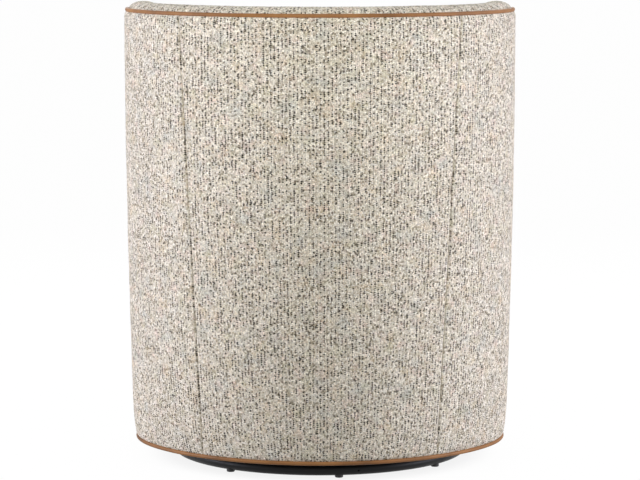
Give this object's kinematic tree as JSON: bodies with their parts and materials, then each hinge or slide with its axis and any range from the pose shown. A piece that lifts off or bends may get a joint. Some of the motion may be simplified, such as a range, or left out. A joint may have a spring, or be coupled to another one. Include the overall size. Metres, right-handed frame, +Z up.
{
  "type": "swivel rocker chair",
  "caption": "Barrel-backed upholstered swivel rocker with sloping arms, contrast welts, loose-look seat cushion and a round tubular steel swivel base.",
  "frame": {"origin": "on the floor, on the swivel axis at the centre of the base ring", "axes": "+Z up; +Y towards the chair's back, so the sitter faces -Y; +X towards the sitter's left"},
  "size_m": [0.73, 0.753, 0.8543],
  "materials": {
    "tweed": "matte",
    "welt_leather": "satin",
    "black_steel": "satin",
    "zinc_steel": "satin",
    "bearing_steel": "polished",
    "spring_steel": "satin",
    "black_plastic": "matte",
    "nylon": "satin",
    "rubber": "matte",
    "hardwood": "matte",
    "plywood": "matte",
    "deck_cloth": "matte",
    "dust_cloth": "matte"
  },
  "bodies": {
    "base": {"base_ring": "black_steel", "base_cross_bars": "black_steel", "glides": "black_plastic", "hub_plate": "black_steel", "hub_bolts": "zinc_steel", "hub_nuts": "zinc_steel", "lower_race": "bearing_steel", "king_bolt": "zinc_steel", "king_washer": "zinc_steel", "king_nut": "zinc_steel"},
    "bearing_cage": {"ball_cage": "zinc_steel", "bearing_balls": "bearing_steel"},
    "swivel": {"swivel_plate": "black_steel", "upper_race": "bearing_steel", "swivel_bushing": "nylon", "lower_bracket_left": "black_steel", "lower_bracket_right": "black_steel", "pivot_shaft": "zinc_steel", "shaft_clips": "zinc_steel", "rubber_stops": "rubber", "rocker_spring_front_left": "spring_steel", "rocker_spring_front_right": "spring_steel", "rocker_spring_rear_left": "spring_steel", "rocker_spring_rear_right": "spring_steel"},
    "chair": {"rocker_top_plate": "black_steel", "upper_bracket_left": "black_steel", "upper_bracket_right": "black_steel", "pivot_bushings": "nylon", "mounting_bolts": "zinc_steel", "mounting_nuts": "zinc_steel", "mechanism_rails": "hardwood", "front_rail": "hardwood", "rear_rail": "hardwood", "seat_rib": "plywood", "bottom_rib": "plywood", "top_rib": "plywood", "arm_rail_left": "plywood", "arm_rail_right": "plywood", "frame_posts": "hardwood", "corner_blocks": "hardwood", "seat_springs": "spring_steel", "spring_clips": "zinc_steel", "seat_deck": "deck_cloth", "dust_cover": "dust_cloth", "outside_back_panel": "tweed", "outside_arm_left": "tweed", "outside_arm_right": "tweed", "inside_back_pad": "tweed", "inside_arm_left": "tweed", "inside_arm_right": "tweed", "rim_band_back": "tweed", "rim_band_left": "tweed", "rim_band_right": "tweed", "front_apron": "tweed", "seat_cushion": "tweed", "cushion_welts": "welt_leather", "outer_welt": "welt_leather", "hem_welt": "welt_leather"}
  },
  "joints": [
    {"name": "swivel", "type": "hinge", "parent": "base", "child": "swivel", "pos_m": [0, 0, 0.0467], "axis": [0, 0, 1], "continuous": true},
    {"name": "bearing_cage_turn", "type": "hinge", "parent": "base", "child": "bearing_cage", "pos_m": [0, 0, 0.0367], "axis": [0, 0, 1], "continuous": true},
    {"name": "rock", "type": "hinge", "parent": "swivel", "child": "chair", "pos_m": [0, 0, 0.1002], "axis": [-1, 0, 0], "range_deg": [-4, 5], "stiffness_Nm_per_rad": 700, "deforming": ["rocker_spring_front_left", "rocker_spring_front_right", "rocker_spring_rear_left", "rocker_spring_rear_right"]}
  ],
  "couplings": [
    {"joint": "bearing_cage_turn", "follows": "swivel", "ratio": 0.5}
  ]
}
